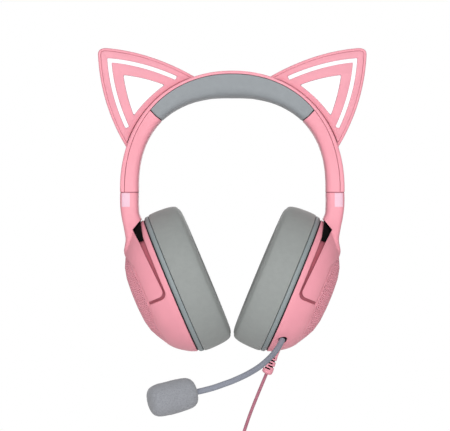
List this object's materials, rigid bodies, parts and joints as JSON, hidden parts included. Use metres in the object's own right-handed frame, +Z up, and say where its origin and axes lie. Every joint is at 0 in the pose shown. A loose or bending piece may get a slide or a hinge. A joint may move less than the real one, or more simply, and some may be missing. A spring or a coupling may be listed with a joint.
{
  "type": "gaming headset",
  "caption": "Over-ear headset with cat ears on the headband, tilting cups, sliding arms, a bending microphone boom and a coiled cable with its plug.",
  "frame": {"origin": "middle of the headband cushion's underside, where the headset rests on a head", "axes": "+Z up, the wearer faces -Y, the wearer's left is +X"},
  "size_m": [0.1996, 0.1514, 0.3727],
  "materials": {
    "pink_plastic": "satin moulded plastic, fine texture",
    "pink_face": "satin moulded plastic",
    "grille_pink": "perforated satin plastic",
    "pad_grey": "soft grey leatherette",
    "ring_grey": "satin grey plastic",
    "light_white": "translucent white diffuser, lit",
    "black_plastic": "matte black plastic",
    "black_rubber": "soft black rubber",
    "steel": "brushed spring steel",
    "board_green": "green circuit board",
    "boom_grey": "grey rubber sleeve",
    "foam_grey": "open-cell foam",
    "relief_pink": "soft pink rubber",
    "cable_pink": "dusty pink cable jacket",
    "cloth_black": "thin black speaker cloth",
    "button_grey": "satin grey plastic"
  },
  "bodies": {
    "headband": {"headband_cover": "pink_plastic", "headband_spring": "steel", "headband_cushion": "pad_grey", "headband_harness": "black_rubber", "arm_liner_left": "pink_plastic", "arm_liner_right": "pink_plastic", "slider_guide_left": "black_plastic", "slider_guide_right": "black_plastic", "ear_shell_left": "pink_plastic", "ear_shell_right": "pink_plastic", "ear_face_left": "pink_face", "ear_face_right": "pink_face", "ear_light_strip_left": "light_white", "ear_light_strip_right": "light_white", "ear_light_panel_left": "light_white", "ear_light_panel_right": "light_white", "ear_light_board_left": "board_green", "ear_light_board_right": "board_green"},
    "yoke_left": {"yoke_left": "pink_plastic", "slider_strip_left": "steel", "tilt_stop_left": "black_rubber"},
    "yoke_right": {"yoke_right": "pink_plastic", "slider_strip_right": "steel", "tilt_stop_right": "black_rubber"},
    "cup_left": {"cup_shell_left": "pink_plastic", "grille_left": "grille_pink", "ear_cushion_left": "pad_grey", "baffle_left": "black_plastic", "driver_left": "steel", "speaker_cloth_left": "cloth_black", "pad_ring_left": "ring_grey", "pivot_pin_front_left": "steel", "pivot_pin_rear_left": "steel", "sound_board": "board_green", "boom_grommet": "black_rubber", "strain_relief": "relief_pink", "usb_cord": "cable_pink", "cord_coil": "cable_pink", "usb_cord_tail": "cable_pink", "cord_tie": "black_rubber", "usb_plug_body": "relief_pink", "usb_plug_shell": "steel"},
    "cup_right": {"cup_shell_right": "pink_plastic", "grille_right": "grille_pink", "ear_cushion_right": "pad_grey", "baffle_right": "black_plastic", "driver_right": "steel", "speaker_cloth_right": "cloth_black", "pad_ring_right": "ring_grey", "pivot_pin_front_right": "steel", "pivot_pin_rear_right": "steel"},
    "volume_wheel": {"volume_wheel": "button_grey"},
    "mute_button": {"mute_button": "button_grey"},
    "boom_base": {"boom_base": "boom_grey"},
    "boom_middle": {"boom_middle": "boom_grey"},
    "mic_head": {"boom_tip": "boom_grey", "mic_capsule": "black_plastic", "mic_foam": "foam_grey"}
  },
  "joints": [
    {"name": "slider_left", "type": "slide", "parent": "headband", "child": "yoke_left", "axis": [0, 0, -1], "range_m": [0, 0.028]},
    {"name": "slider_right", "type": "slide", "parent": "headband", "child": "yoke_right", "axis": [0, 0, -1], "range_m": [0, 0.028]},
    {"name": "tilt_left", "type": "hinge", "parent": "yoke_left", "child": "cup_left", "pos_m": [0.05657, 0, -0.14432], "axis": [0, -1, 0], "range_deg": [0, 10]},
    {"name": "tilt_right", "type": "hinge", "parent": "yoke_right", "child": "cup_right", "pos_m": [-0.05657, 0, -0.14432], "axis": [0, 1, 0], "range_deg": [0, 10]},
    {"name": "mic_turn", "type": "hinge", "parent": "cup_left", "child": "boom_base", "pos_m": [0.03685, -0.0256, -0.1788], "axis": [-0.2708, -0.712, -0.6478], "range_deg": [-15, 15]},
    {"name": "mic_bend", "type": "hinge", "parent": "boom_base", "child": "boom_middle", "pos_m": [0.02401, -0.0474, -0.19404], "axis": [-0.1136, 0.5721, -0.8123], "range_deg": [-16, 12]},
    {"name": "mic_bend_2", "type": "hinge", "parent": "boom_middle", "child": "mic_head", "pos_m": [-0.00123, -0.07071, -0.20628], "axis": [-0.0833, 0.5245, -0.8473], "range_deg": [-16, 12]},
    {"name": "volume_turn", "type": "hinge", "parent": "cup_left", "child": "volume_wheel", "pos_m": [0.0445, 0.0312, -0.1608], "axis": [0.9227, 0, -0.3854], "continuous": true},
    {"name": "mute_press", "type": "slide", "parent": "cup_left", "child": "mute_button", "axis": [0.2783, -0.6919, 0.6662], "range_m": [0, 0.0008], "stiffness_N_per_m": 400}
  ],
  "couplings": [
    {"joint": "mic_bend_2", "follows": "mic_bend", "ratio": 1}
  ]
}
